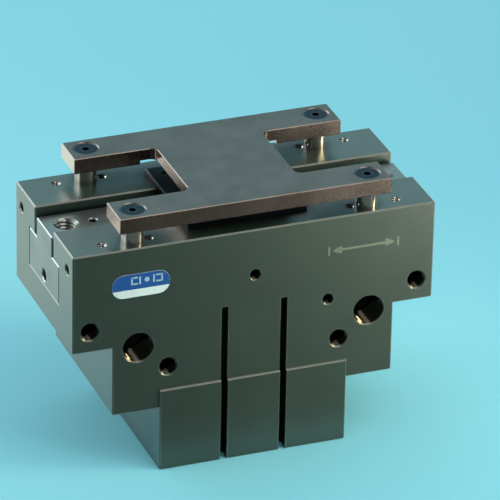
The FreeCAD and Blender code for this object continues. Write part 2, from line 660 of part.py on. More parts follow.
def piston():
    """The piston, with grooves for two seals and the magnet between them."""
    body = new_body("piston")
    rim = "piston_radius"
    groove = "piston_radius - seal_depth"
    corners = [("piston_screw_diameter / 2", "piston_top"), (rim, "piston_top")]
    level = "piston_top"
    for width in ("seal_width", "magnet_width", "seal_width"):
        upper = f"{level} - piston_land"
        level = f"{upper} - {width}"
        corners += [(rim, upper), (groove, upper), (groove, level), (rim, level)]
    head = "piston_screw_head / 2 + head_clearance"
    corners += [(rim, "piston_bottom"), (head, "piston_bottom"), (head, "screw_seat"),
                ("piston_screw_diameter / 2", "screw_seat")]
    turn_profile(body, corners)
    return body


def piston_ring(label, below_top, width):
    """A seal or the magnet in its groove, clear of the cylinder's wall."""
    body = new_body(label)
    top = f"piston_top - ({below_top})"
    low = f"{top} - {width}"
    inner, outer = "piston_radius - seal_depth", "cylinder_bore / 2 - seal_fit"
    if width == "magnet_width":
        outer = "piston_radius"
    turn_profile(body, [(inner, low), (outer, low), (outer, top), (inner, top)])
    return body


def piston_screw():
    """The socket-head screw that holds the piston to the rod."""
    body = new_body("piston_screw")
    shank, head = "piston_screw_diameter / 2", "piston_screw_head / 2"
    tip, base = "piston_top + piston_screw_grip", "screw_seat - piston_screw_head_height"
    turn_profile(body, [("0", tip), (shank, tip), (shank, "screw_seat"), (head, "screw_seat"),
                        (head, base), ("0", base)])
    hexagon = new_sketch(body, "socket", "XY_Plane", base)
    add_hexagon(hexagon, "piston_screw_socket")
    pocket(body, hexagon, "piston_screw_head_height / 2", reverse=True)
    return body


def cylinder_cover():
    """The cover that closes the cylinder from below, with an O-ring groove."""
    body = new_body("cylinder_cover")
    rim = "cylinder_bore / 2 - seal_fit"
    groove = "cylinder_bore / 2 - cover_seal_depth"
    middle = "(cover_bottom + cover_top) / 2"
    low, high = f"{middle} - cover_seal_width / 2", f"{middle} + cover_seal_width / 2"
    turn_profile(body, [("0", "cover_bottom"), (rim, "cover_bottom"), (rim, low), (groove, low),
                        (groove, high), (rim, high), (rim, "cover_top"), ("0", "cover_top")])
    return body


def cover_seal():
    """The O-ring round the cylinder cover."""
    body = new_body("cover_seal")
    section = new_sketch(body, "section", "XZ_Plane")
    add_circle(section, "cover_seal_depth - seal_fit",
               "cylinder_bore / 2 - (cover_seal_depth + seal_fit) / 2",
               "(cover_bottom + cover_top) / 2")
    ring = body.newObject("PartDesign::Revolution", "cover_seal_turned")
    ring.Profile = section
    ring.ReferenceAxis = (section, ["V_Axis"])
    ring.Angle = 360
    return body


def retaining_ring():
    """The open ring that holds the cylinder cover in its groove."""
    body = new_body("retaining_ring")
    flat = new_sketch(body, "flat", "XY_Plane", "circlip_inset")
    add_circle(flat, "circlip_diameter")
    add_circle(flat, "circlip_diameter - 2 * circlip_width")
    pad(body, flat, "circlip_thickness")
    opening = new_sketch(body, "opening", "XY_Plane", "circlip_inset")
    add_box(opening, "-circlip_gap / 2", "circlip_gap / 2", "-circlip_diameter / 2", "0")
    pocket(body, opening, "circlip_thickness", reverse=True)
    lugs = new_sketch(body, "lugs", "XY_Plane", "circlip_inset")
    eyes = new_sketch(body, "eyes", "XY_Plane", "circlip_inset")
    across = "(circlip_gap / 2 + circlip_lug / 2)"
    along = f"-sqrt(pow(circlip_diameter / 2 - circlip_width; 2) - pow({across}; 2))"
    for side in (-1, 1):
        add_circle(lugs, "circlip_lug", f"{side} * {across}", along)
        add_circle(eyes, "circlip_eye", f"{side} * {across}", along)
    pad(body, lugs, "circlip_thickness")
    pocket(body, eyes, "circlip_thickness", reverse=True)
    return body


def rod_ring(label, wall, low, high):
    """A ring round the piston rod: its bush or its seal."""
    body = new_body(label)
    inner, outer = "rod_diameter / 2 + rod_fit", f"rod_diameter / 2 + {wall}"
    turn_profile(body, [(inner, low), (outer, low), (outer, high), (inner, high)])
    return body


def post(label, side_x, side_y):
    """A guide post with a threaded top and a groove for its stop screw."""
    body = new_body(label)
    length = "(plate_bottom - post_bottom)"
    radius, core = "post_diameter / 2", "plate_screw_core / 2"
    thread = "(plate_screw_length + plate_screw_sink - plate_thickness + thread_runout)"
    turn_profile(body, [
        ("0", "0"), (f"{radius} - post_chamfer", "0"), (radius, "post_chamfer"),
        (radius, length), (core, length), (core, f"{length} - {thread}"),
        ("0", f"{length} - {thread}")])
    groove = new_sketch(body, "groove", "YZ_Plane", "post_diameter / 2 - stop_groove_depth")
    half_width = "(stop_point_diameter / 2 + stop_groove_fit)"
    middle = "stop_height - post_bottom"
    reach = "stop_point_diameter / 2 + stop_end_gap"
    add_box(groove, f"-{half_width}", half_width, f"{middle} - ({reach})",
            f"{middle} + {reach} + pusher_travel")
    pocket(body, groove, "stop_groove_depth", reverse=True)
    place(body, f"{side_x} * post_pitch_x / 2", f"{side_y} * post_pitch_y / 2", "post_bottom",
          turn=0 if side_x > 0 else 180)
    return body


def post_spring(label, side_x, side_y):
    """The flat-wire spring under a post."""
    body = new_body(label)
    wire = new_sketch(body, "wire", "XZ_Plane")
    add_box(wire, "spring_diameter / 2 - spring_wire", "spring_diameter / 2",
            "0", "spring_wire_height")
    coil = body.newObject("PartDesign::AdditiveHelix", label + "_coil")
    coil.Profile = wire
    coil.ReferenceAxis = (wire, ["V_Axis"])
    coil.Mode = "height-turns-angle"
    coil.setExpression("Height", formula("spring_length - spring_wire_height"))
    coil.setExpression("Turns", formula("spring_turns"))
    place(body, f"{side_x} * post_pitch_x / 2", f"{side_y} * post_pitch_y / 2",
          "post_bore_floor")
    return body


def stop_screw(label, side_x, side_y):
    """A set screw from the end of the body, its dog point in a post's groove."""
    body = new_body(label)
    point, core = "stop_point_diameter / 2", "stop_bore / 2"
    turn_profile(body, [("0", "0"), (point, "0"), (point, "stop_point_length"),
                        (core, "stop_point_length"), (core, "stop_length"),
                        ("0", "stop_length")])
    hexagon = new_sketch(body, "socket", "XY_Plane", "stop_length")
    add_hexagon(hexagon, "stop_socket")
    pocket(body, hexagon, "stop_socket")
    place(body, f"{side_x} * stop_tip", f"{side_y} * post_pitch_y / 2", "stop_height",
          turn=90 * side_x, axis=(0, 1, 0))
    return body


def pusher_plate():
    """The H-shaped plate: two arms along X joined by a web, relieved over the guard."""
    body = new_body("pusher_plate")
    outline = new_sketch(body, "outline", "XY_Plane", "plate_bottom")
    end, web = "plate_length / 2", "web_length / 2"
    edge, inner = "plate_depth / 2", "(plate_depth / 2 - arm_width)"
    quarter = [(end, inner), (end, edge)]
    corners = [(web, inner)] + quarter
    corners += [(f"-{across}", along) for across, along in reversed(corners)]
    corners += [(across, f"-{along}") for across, along in reversed(corners)]
    add_outline(outline, corners)
    slab = pad(body, outline, "plate_thickness")
    doc.recompute()
    corner_edges = [f"Edge{i}" for i, e in enumerate(slab.Shape.Edges, start=1)
                    if inner_corner(e)]
    rounds = body.newObject("PartDesign::Fillet", "pusher_plate_rounds")
    rounds.Base = (slab, corner_edges)
    rounds.setExpression("Radius", formula("plate_fillet"))
    doc.recompute()
    faces = (rounds.Shape.BoundBox.ZMin, rounds.Shape.BoundBox.ZMax)
    chamfer(body, rounds, "plate_chamfer",
            lambda edge: any(lies_at(edge, "Z", level) for level in faces))
    holes = new_sketch(body, "holes", "XY_Plane", "plate_top")
    for side_x, side_y in CORNERS.values():
        add_circle(holes, "plate_screw_hole", f"{side_x} * post_pitch_x / 2",
                   f"{side_y} * post_pitch_y / 2")
    drill(body, holes, "plate_screw_hole",
          mouth="plate_screw_head + 2 * plate_screw_sink + head_clearance")
    relief = new_sketch(body, "relief", "XY_Plane", "plate_bottom")
    reach = "(guard_size / 2 + relief_fit)"
    add_box(relief, f"-{reach}", reach, f"-{reach}", reach)
    pocket(body, relief, "relief_depth", reverse=True)
    return body


def inner_corner(edge):
    """Picks the upright edges where the pusher plate's arms meet its web."""
    web_end = value_of("web_length") / 2
    return any(lies_at(edge, "X", side * web_end) for side in (-1, 1)) and edge.BoundBox.YLength < NEAR


def value_of(name):
    """Reads one driving dimension as a number."""
    return float(getattr(doc.Sizes, name))


def check_cuts():
    """Stops if a pocket, groove or hole took nothing away."""
    for item in doc.Objects:
        if item.TypeId in ("PartDesign::Pocket", "PartDesign::Groove", "PartDesign::Hole"):
            if item.Shape.Volume > item.BaseFeature.Shape.Volume - LEAST_CUT:
                raise RuntimeError(item.Name + " cuts nothing")


def write_parts(bodies):
    """Checks every object and piece, then writes one STEP file for each piece."""
    failed = [item.Name for item in doc.Objects
              if "Invalid" in item.State or "Error" in item.State]
    if failed:
        raise RuntimeError("failed objects: " + ", ".join(failed))
    check_cuts()
    os.makedirs("parts", exist_ok=True)
    for body in bodies:
        shape = body.Shape
        if shape.isNull() or not shape.isValid() or not shape.Solids:
            raise RuntimeError(body.Label + " has no valid solid")
        shape.exportStep(f"parts/{body.Label}.step")
        print(f"{body.Label}: {shape.Volume / 1000:.2f} cm3, {len(shape.Faces)} faces")


def build():
    """Makes every piece of the gripper."""
    sizes = fill_sheets()
    bodies = [housing(sizes), guard(), jaw("right_jaw", 0), jaw("left_jaw", 180), wedge(),
              piston(), piston_screw(), cylinder_cover(), cover_seal(), retaining_ring(),
              rod_ring("rod_bush", "bush_wall", "rod_seal_top", "well_floor"),
              rod_ring("rod_seal", "rod_seal_wall", "cylinder_top", "rod_seal_top"),
              pusher_plate()]
    bodies += [piston_ring("upper_piston_seal", "piston_land", "seal_width"),
               piston_ring("piston_magnet", "2 * piston_land + seal_width", "magnet_width"),
               piston_ring("lower_piston_seal",
                           "3 * piston_land + seal_width + magnet_width", "seal_width")]
    for corner, (side_x, side_y) in CORNERS.items():
        bodies.append(post("post_" + corner, side_x, side_y))
        bodies.append(post_spring("spring_" + corner, side_x, side_y))
        bodies.append(stop_screw("stop_screw_" + corner, side_x, side_y))
        plate_screw = sunk_screw("plate_screw_" + corner, "plate_screw_head",
                                 "plate_screw_core", "plate_screw_length",
                                 "plate_screw_socket")
        place(plate_screw, f"{side_x} * post_pitch_x / 2", f"{side_y} * post_pitch_y / 2",
              "plate_top - plate_screw_sink")
        guard_screw = sunk_screw("guard_screw_" + corner, "guard_screw_head",
                                 "guard_screw_core", "guard_screw_length",
                                 "guard_screw_socket")
        place(guard_screw, f"{side_x} * guard_screw_pitch / 2",
              f"{side_y} * guard_screw_pitch / 2", "guard_top")
        bodies += [plate_screw, guard_screw]
    doc.recompute()
    return bodies


write_parts(build())
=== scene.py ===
"""Looks of a pneumatic parallel gripper: the finishes of its pieces, the threads in
its holes, its label, its laser mark and the studio that it stands in. Metres."""

import json
import math

import bpy
from bpy.props import FloatProperty, FloatVectorProperty, IntProperty, PointerProperty
from bpy.types import Operator, Panel, PropertyGroup
from mathutils import Matrix, Vector


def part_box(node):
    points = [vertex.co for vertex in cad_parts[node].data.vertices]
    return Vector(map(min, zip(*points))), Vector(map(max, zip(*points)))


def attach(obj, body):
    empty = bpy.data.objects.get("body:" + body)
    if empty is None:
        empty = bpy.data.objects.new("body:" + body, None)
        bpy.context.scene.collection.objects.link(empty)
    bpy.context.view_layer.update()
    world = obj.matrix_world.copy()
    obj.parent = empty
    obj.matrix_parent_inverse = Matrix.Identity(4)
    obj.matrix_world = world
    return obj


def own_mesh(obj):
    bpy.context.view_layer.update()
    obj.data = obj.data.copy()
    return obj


bl_info = {
    "name": "Parallel Gripper Looks",
    "version": (1, 0, 0),
    "blender": (4, 5, 0),
    "location": "3D View > Sidebar > Gripper",
    "description": "Finishes, threads, label and studio for a pneumatic parallel gripper",
    "category": "Object",
}

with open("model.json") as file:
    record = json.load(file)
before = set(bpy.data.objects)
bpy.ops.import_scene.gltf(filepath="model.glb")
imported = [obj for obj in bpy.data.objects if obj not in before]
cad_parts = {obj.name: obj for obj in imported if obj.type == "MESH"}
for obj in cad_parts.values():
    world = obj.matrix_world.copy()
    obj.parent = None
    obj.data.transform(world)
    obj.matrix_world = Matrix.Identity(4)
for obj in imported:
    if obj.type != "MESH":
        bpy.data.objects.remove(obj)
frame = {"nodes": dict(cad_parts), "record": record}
nodes = frame["nodes"]
mounts = {mount["name"]: mount for mount in frame["record"]["mounts"]}
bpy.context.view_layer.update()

BODY = "body"
JAW_UNITS = ("left_jaw_unit", "right_jaw_unit")
SIDES = ("left", "right")
CORNERS = ("front_left", "front_right", "back_left", "back_right")

# The faces that carry threads, and the ways into them.
PORT_MOUNT_DEPTH = 0.006  # the record's ports lie this far inside the front face
FRONT = mounts["left_air_port"]["pos_m"][1] - PORT_MOUNT_DEPTH
RAIL_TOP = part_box("housing")[1].z
JAW_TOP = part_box("left_jaw")[1].z
INTO_FRONT = Vector((0, 1, 0))
INTO_TOP = Vector((0, 0, -1))

# How far the threads go down their holes, and the shape of their ridges.
PORT_THREAD, BIG_THREAD, SMALL_THREAD = 0.0125, 0.0135, 0.0115
RAIL_THREAD, JAW_THREAD = 0.0048, 0.0175
RIDGE_HALF_WIDTH = 0.42  # as a share of the pitch
SMOOTH_UP_TO = math.radians(40)

# The label, in shares of its length, its width or its foil's thickness.
PRINT_LONG, PRINT_WIDE = 0.995, 0.99  # the print stops just inside the foil's rim
FIELD_FOOT = 0.16  # how far below the middle the printed field ends
SIGN_LIFT = 1.2  # the signs lie on the field's ink
CORNER_STEPS = 10  # faces round one corner
TRIANGLE_HEIGHT, TRIANGLE_WIDTH = 0.75, 0.866  # of a three-sided circle that is 1 across

# What all surfaces share.
CLOUDS = 70.0  # lumps in a metre
NOISE_SPAN = (0.3, 0.7)  # where a noise has nearly all its values
SMOOTHEST, ROUGHEST = 0.85, 1.2  # how the fine grain varies a roughness
# Painted shade: in hollows, occlusion darkens a surface's colour and takes away its gloss,
# standing in for the shade that falls there.
HOLLOW_SPAN = (0.1, 0.65)  # from a deep hollow to open ground, as occlusion gives it
SHADED_HOLLOW_SHARE = 0.1  # of its colour that a surface keeps in a hollow
OPEN_GLOSS, SHADED_HOLLOW_GLOSS = 0.5, 0.05
EDGE_SPAN = (0.75, 0.98)  # from a sharp edge to flat ground, as the normals agree

# The sheet's painted reflection, as metal sees it along Y, and the room, as parts of a direction.
FLOOR_SIZE = 12.0
SHEET_FADE = 0.03
FAR_FADE = (-0.03, 0.13)
WALL_RISE = (0.35, 0.65)
ROOM_TURN = (-0.35, 0.25)
LAMP_AIM = (0, 0, 0.07)  # about the middle of the gripper


def length(name, description, default, lowest=0.0):
    """A size that a user would change, in metres."""
    return FloatProperty(name=name, description=description, default=default,
                         subtype="DISTANCE", unit="LENGTH", min=lowest, precision=5)


def colour(name, description, default):
    """A colour that a user would change."""
    return FloatVectorProperty(name=name, description=description, default=default,
                               size=3, subtype="COLOR", min=0.0, max=1.0)


def angle(name, description, default):
    """An angle that a user would change, given in degrees here."""
    return FloatProperty(name=name, description=description, default=math.radians(default),
                         subtype="ANGLE", unit="ROTATION")


def power(name, description, default):
    """A lamp's power, in watts."""
    return FloatProperty(name=name, description=description, default=default, min=0.0,
                         unit="POWER")


class FinishSettings(PropertyGroup):
    """Colours of the gripper's metals."""
    anodised: colour("Anodised", "Hard-anodised olive of the body", (0.015, 0.034, 0.026))
    # Edges paler and barer: partly anodising worn thin, partly a painted highlight.
    worn_edge_and_highlight: colour("Bare edge", "Where the anodising is thin on an edge", (0.46, 0.47, 0.40))
    guard: colour("Guard", "Blued guard over the wedge", (0.018, 0.022, 0.034))
    jaw: colour("Jaw", "Hardened steel of the jaws", (0.29, 0.32, 0.325))
    plate: colour("Plate", "Ground steel of the pusher plate", (0.192, 0.160, 0.148))
    # Painted light: the plate's faces toward the left are made paler, as if lit.
    plate_lit_end: colour("Plate end", "Freshly cut ends of the plate", (0.85, 0.66, 0.58))
    post: colour("Post", "Polished guide posts", (0.78, 0.77, 0.75))
    blued: colour("Blued screws", "Screws in the pusher plate", (0.017, 0.028, 0.040))


class ThreadSettings(PropertyGroup):
    """Sizes of the threads that are cut in the holes."""
    port_pitch: length("Port pitch", "Pitch of the air ports' pipe thread", 0.00134)
    port_ridge: length("Port ridge", "Height of the pipe thread's ridge", 0.0007)
    big_pitch: length("M8 pitch", "Pitch of the mounting threads", 0.00125)
    big_ridge: length("M8 ridge", "Height of the mounting threads' ridge", 0.0005)
    small_pitch: length("M5 pitch", "Pitch of the small threads", 0.0008)
    small_ridge: length("M5 ridge", "Height of the small threads' ridge", 0.00035)
    rail_pitch: length("M4 pitch", "Pitch of the threads in the rail tops", 0.0007)
    rail_ridge: length("M4 ridge", "Height of the rail threads' ridge", 0.0003)
    jaw_pitch: length("M10 pitch", "Pitch of the finger threads in the jaws", 0.0015)
    jaw_ridge: length("M10 ridge", "Height of the finger threads' ridge", 0.0006)
    steps: IntProperty(name="Steps", description="Faces in one turn of a thread",
                       default=40, min=12, max=96)


class LabelSettings(PropertyGroup):
    """The label and the laser mark on the front face."""
    across: length("Label across", "Label's middle along X", -0.0477, lowest=-1.0)
    height: length("Label height", "Label's middle above the base's underside", 0.0846)
    length: length("Label length", "Length of the label", 0.0240)
    width: length("Label width", "Width of the label", 0.0102)
    corner: length("Label corner", "How far its corners are rounded off", 0.0048)
    thickness: length("Label thickness", "Thickness of the foil", 0.00016)
    ink: length("Ink", "Thickness of what is printed on the foil", 0.00003)
    blue: colour("Label blue", "Printed field", (0.006, 0.060, 0.235))
    white: colour("Label white", "Foil's own colour", (0.50, 0.58, 0.58))
    sign: colour("Label sign", "Signs printed on the field", (0.24, 0.36, 0.46))
    mark_across: length("Mark across", "Laser mark's middle along X", 0.0456, lowest=-1.0)
    mark_height: length("Mark height", "Laser mark's middle above the base's underside", 0.0859)
    mark_length: length("Mark length", "Length of the double arrow", 0.0270)
    mark: colour("Laser mark", "Marked anodising", (0.100, 0.120, 0.092))


class StudioSettings(PropertyGroup):
    """The camera, the floor and the lamps."""
    azimuth: angle("Azimuth", "Camera's turn round the gripper, from the front", -21.254)
    elevation: angle("Elevation", "Camera's height above the horizon", 27.676)
    roll: angle("Roll", "Camera's turn about its own axis", 1.226)
    distance: length("Distance", "Camera to the point that it aims at", 1.9796)
    aim: FloatVectorProperty(name="Aim", description="Point in the middle of the picture",
                             default=(0.01038, -0.00173, 0.07350), size=3,
                             subtype="TRANSLATION", unit="LENGTH")
    lens: FloatProperty(name="Lens", description="Focal length in millimetres on a 36 mm frame",
                        default=356.8, min=1.0)
    floor_colour: colour("Floor", "Pale sheet that the gripper stands on", (0.20, 0.60, 0.74))
    pale_wall: colour("Pale wall", "What lies behind and above the sheet", (0.80, 0.90, 0.83))
    # Painted reflection: metal sees the sheet paler far behind and dim in front of its end, while
    # the camera sees it plain.
    far_sheet_reflection: colour("Far sheet", "Sheet far behind, as metal sees it", (0.57, 0.79, 0.78))
    dim_room: colour("Dim room", "What lies in front, behind the camera", (0.055, 0.072, 0.068))
    sheet_reflection_end: length("Sheet's end", "Where metal sees the sheet end, in front", 0.035)
    soft_light: colour("Soft light", "Even light from all round", (0.71, 0.72, 0.71))
    window_power: power("Window power", "Power of the large lamp behind left", 13.0)
    left_power: power("Left power", "Power of the lamp on the left", 8.0)
    top_power: power("Top power", "Power of the overhead lamp", 6.0)
    front_power: power("Front power", "Power of the low lamp in front on the right", 0.24)
    warm_power: power("Warm power", "Power of the warm lamp on the right", 0.16)


# Small helpers for modelling by operators.


def start_clean():
    """Leaves edit mode and selects nothing."""
    if bpy.context.object and bpy.context.object.mode != "OBJECT":
        bpy.ops.object.mode_set(mode="OBJECT")
    bpy.ops.object.select_all(action="DESELECT")


def name_piece(name):
    """Names the new active object and its mesh."""
    piece = bpy.context.object
    piece.name = name
    piece.data.name = name
    return piece


def edit_whole():
    """Enters edit mode on the active piece with all of it selected."""
    bpy.ops.object.mode_set(mode="EDIT")
    bpy.ops.mesh.select_all(action="SELECT")


def make_active(piece):
    """Selects one piece and nothing else."""
    start_clean()
    piece.select_set(True)
    bpy.context.view_layer.objects.active = piece


def copy_to(piece, name, place):
    """A copy of a piece that isn't settled yet, with its own mesh, in another place."""
    make_active(piece)
    bpy.ops.object.duplicate(linked=False)
    copy = name_piece(name)
    copy.location = place
    return copy


def bake_place():
    """Puts the active piece's place, turn and scale in its mesh."""
    bpy.ops.object.transform_apply(location=True, rotation=True, scale=True)


def apply_modifier(modifier):
    """Makes a modifier of the active piece part of its mesh."""
    bpy.ops.object.modifier_apply(modifier=modifier.name)


def settle(piece, body):
    """Puts a finished piece's place in its mesh and lets it ride on its body."""
    make_active(piece)
    bake_place()
    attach(piece, body)


def dress(piece, material):
    """Gives a piece one material."""
    piece.data.materials.clear()
    piece.data.materials.append(material)


# Small helpers for materials.


def new_material(name):
    """Starts a material and returns it with its node tree and its shader."""
    material = bpy.data.materials.new(name)
    material.use_nodes = True
    tree = material.node_tree
    return material, tree, tree.nodes["Principled BSDF"]


def add_node(tree, kind, inputs=None, **settings):
    """Adds a shader node, sets it up and gives values or links to its inputs."""
    node = tree.nodes.new("ShaderNode" + kind)
    for name, value in settings.items():
        setattr(node, name, value)
    for name, value in (inputs or {}).items():
        if isinstance(value, bpy.types.NodeSocket):
            tree.links.new(value, node.inputs[name])
        else:
            node.inputs[name].default_value = value
    return node


def on_object(tree, stretch=(1, 1, 1)):
    """The place on the piece itself, in metres, stretched along its axes."""
    place = add_node(tree, "TexCoord").outputs["Object"]
    return add_node(tree, "Mapping", {"Vector": place, "Scale": stretch}).outputs["Vector"]


def noise(tree, place, scale, detail):
    """A soft noise; scale is in lumps for each metre."""
    made = add_node(tree, "TexNoise", {"Vector": place, "Scale": scale, "Detail": detail,
                                       "Roughness": 0.6})
    return made.outputs["Fac"]


def ramp(tree, factor, low, high, at=(0.0, 1.0)):
    """Spreads a factor between two values, within a window."""
    made = add_node(tree, "MapRange", {"Value": factor, "From Min": at[0], "From Max": at[1],
                                       "To Min": low, "To Max": high})
    return made.outputs["Result"]


def blend_colours(tree, factor, low, high):
    """Mixes two colours, each given as three numbers or as a socket."""
    mix = add_node(tree, "Mix", data_type="RGBA")
    for name, value in (("Factor_Float", factor), ("A_Color", low), ("B_Color", high)):
        socket = next(s for s in mix.inputs if s.identifier == name)
        if isinstance(value, bpy.types.NodeSocket):
            tree.links.new(value, socket)
        else:
            socket.default_value = value if name == "Factor_Float" else (*value, 1.0)
    return next(s for s in mix.outputs if s.identifier == "Result_Color")


def scaled(base, factor):
    """A colour made darker or paler by a factor."""
    return tuple(min(1.0, part * factor) for part in base)


def bump(tree, height, distance):
    """Turns a height into a bent normal; distance is in metres."""
    made = add_node(tree, "Bump", {"Height": height, "Distance": distance, "Strength": 1.0})
    return made.outputs["Normal"]


def alignment(tree, one, other):
    """How far two directions agree: 1 along each other, 0 across."""
    made = add_node(tree, "VectorMath", {0: one, 1: other}, operation="DOT_PRODUCT")
    return made.outputs["Value"]


def edge_share(tree, radius):
    """How near the surface is to a sharp edge, from 0 to 1."""
    rounded = add_node(tree, "Bevel", {"Radius": radius}, samples=6).outputs["Normal"]
    flat = add_node(tree, "NewGeometry").outputs["Normal"]
    return ramp(tree, alignment(tree, rounded, flat), 1.0, 0.0, at=EDGE_SPAN)


def surface(name, base, rough, metallic=1.0, coat=0.0, coat_rough=0.1, coat_ior=1.5,
            spread=0.12, grain=3000.0, grain_depth=2e-6, stretch=(1, 1, 1), edge=None,
            edge_radius=0.0004, shade=0.0):
    """A finish with cloudy colour and fine grain. Where they are given, sharp edges are paler
    and bare, partly as wear and partly as a painted highlight, and hollows no wider than shade
    are dark and dull, as painted shade."""
    material, tree, shader = new_material(name)
    sockets = shader.inputs
    clouds = ramp(tree, noise(tree, on_object(tree), CLOUDS, 5.0), 0.0, 1.0, at=NOISE_SPAN)
    tint = blend_colours(tree, clouds, scaled(base, 1 - spread), scaled(base, 1 + spread))
    sockets["Metallic"].default_value = metallic
    # Painted highlight, partly real wear: sharp edges get a paler colour and turn more metallic.
    if edge:
        near = edge_share(tree, edge_radius)
        tint = blend_colours(tree, near, tint, edge)
        tree.links.new(ramp(tree, near, metallic, 1.0), sockets["Metallic"])
    sockets["Coat Weight"].default_value = coat
    sockets["Coat IOR"].default_value = coat_ior
    sockets["Coat Roughness"].default_value = coat_rough
    # Painted shade: occlusion darkens the colour and takes away the coat and the gloss in hollows.
    if shade:
        around = add_node(tree, "AmbientOcclusion", {"Distance": shade}, samples=8)
        painted_shade = ramp(tree, around.outputs["AO"], 1.0, 0.0, at=HOLLOW_SPAN)
        tint = blend_colours(tree, painted_shade, tint, scaled(base, SHADED_HOLLOW_SHARE))
        tree.links.new(ramp(tree, painted_shade, coat, 0.0), sockets["Coat Weight"])
        gloss = ramp(tree, painted_shade, OPEN_GLOSS, SHADED_HOLLOW_GLOSS)
        tree.links.new(gloss, sockets["Specular IOR Level"])
    tree.links.new(tint, sockets["Base Color"])
    fine = noise(tree, on_object(tree, stretch), grain, 3.0)
    uneven = ramp(tree, fine, rough * SMOOTHEST, rough * ROUGHEST, at=NOISE_SPAN)
    tree.links.new(uneven, sockets["Roughness"])
    tree.links.new(bump(tree, fine, grain_depth), sockets["Normal"])
    return material


def painted_lit_side(material, way, pale):
    """Paints light on the faces that look one way: they are made paler, as if lit from that side.
    """
    tree = material.node_tree
    base = tree.nodes["Principled BSDF"].inputs["Base Color"]
    tint = base.links[0].from_socket
    normal = add_node(tree, "NewGeometry").outputs["Normal"]
    facing = ramp(tree, alignment(tree, normal, way), 0.0, 1.0, at=(0.75, 0.95))
    tree.links.new(blend_colours(tree, facing, tint, pale), base)


def dress_springs(material):
    """Dresses the springs under the posts and gives each its own mesh. On the gripper they shorten
    by as much as the pusher goes down.
    """
    for corner in CORNERS:
        spring = nodes["spring_" + corner]
        dress(spring, material)
        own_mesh(spring)


class GRIPPER_OT_finish_body(Operator):
    """Anodise the body and finish what is fixed in it"""
    bl_idname = "gripper.finish_body"
    bl_label = "Finish the Body"

    def execute(self, context):
        finish = context.scene.gripper_finish
        # Painted shade in the body's hollows and under the plate; its paler edges are partly wear
        # and partly a painted highlight.
        dress(nodes["housing"],
              surface("anodised_olive", finish.anodised, rough=0.34, metallic=0.1, coat=1.0,
                      coat_rough=0.3, coat_ior=1.65, edge=finish.worn_edge_and_highlight, shade=0.014))
        dress(nodes["wedge_guard"],
              surface("blued_guard", finish.guard, rough=0.32, edge=(0.20, 0.24, 0.28)))
        dress(nodes["cylinder_cover"], surface("turned_aluminium", (0.62, 0.63, 0.65), rough=0.3))
        black = surface("black_oxide", (0.045, 0.047, 0.052), rough=0.4, edge=(0.2, 0.2, 0.21))
        dress(nodes["retaining_ring"], black)
        for corner in CORNERS:
            dress(nodes["stop_screw_" + corner], black)
            dress(nodes["guard_screw_" + corner], black)
        dress(nodes["rod_bush"], surface("sintered_bronze", (0.5, 0.33, 0.15), rough=0.45))
        rubber = surface("moulded_rubber", (0.018, 0.018, 0.019), rough=0.6, metallic=0.0)
        for name in ("cover_seal", "rod_seal", "upper_piston_seal", "lower_piston_seal"):
            dress(nodes[name], rubber)
        dress_springs(surface("spring_steel", (0.3, 0.3, 0.31), rough=0.35))
        return {"FINISHED"}


class GRIPPER_OT_finish_jaws(Operator):
    """Finish the two jaws as hardened and ground steel"""
    bl_idname = "gripper.finish_jaws"
    bl_label = "Finish the Jaws"

    def execute(self, context):
        steel = surface("hardened_steel", context.scene.gripper_finish.jaw, rough=0.3,
                        stretch=(1, 8, 1), edge=(0.34, 0.36, 0.36))
        for side in SIDES:
            dress(nodes[side + "_jaw"], steel)
        return {"FINISHED"}


class GRIPPER_OT_finish_piston(Operator):
    """Finish the wedge, its rod and the piston"""
    bl_idname = "gripper.finish_piston"
    bl_label = "Finish the Piston Unit"

    def execute(self, context):
        dress(nodes["wedge_hook"], surface("ground_rod", (0.5, 0.51, 0.53), rough=0.2))
        dress(nodes["piston"], surface("piston_aluminium", (0.6, 0.61, 0.63), rough=0.32))
        dress(nodes["piston_screw"], surface("piston_screw_black", (0.05, 0.05, 0.055), rough=0.4))
        dress(nodes["piston_magnet"],
              surface("bonded_ferrite", (0.05, 0.05, 0.05), rough=0.6, metallic=0.0))
        return {"FINISHED"}


class GRIPPER_OT_finish_pusher(Operator):
    """Finish the pusher plate, its posts and its screws"""
    bl_idname = "gripper.finish_pusher"
    bl_label = "Finish the Pusher"

    def execute(self, context):
        finish = context.scene.gripper_finish
        ground = surface("ground_plate", finish.plate, rough=0.28, spread=0.2,
                         edge=(0.27, 0.23, 0.21), edge_radius=0.0003)
        # Painted light on the plate's faces toward the left.
        painted_lit_side(ground, (-1, 0, 0), finish.plate_lit_end)
        dress(nodes["pusher_plate"], ground)
        polished = surface("polished_post", finish.post, rough=0.07, metallic=0.98, spread=0.03)
        blued = surface("blued_screw", finish.blued, rough=0.28, edge=(0.3, 0.36, 0.42))
        for corner in CORNERS:
            dress(nodes["post_" + corner], polished)
            dress(nodes["plate_screw_" + corner], blued)
        return {"FINISHED"}


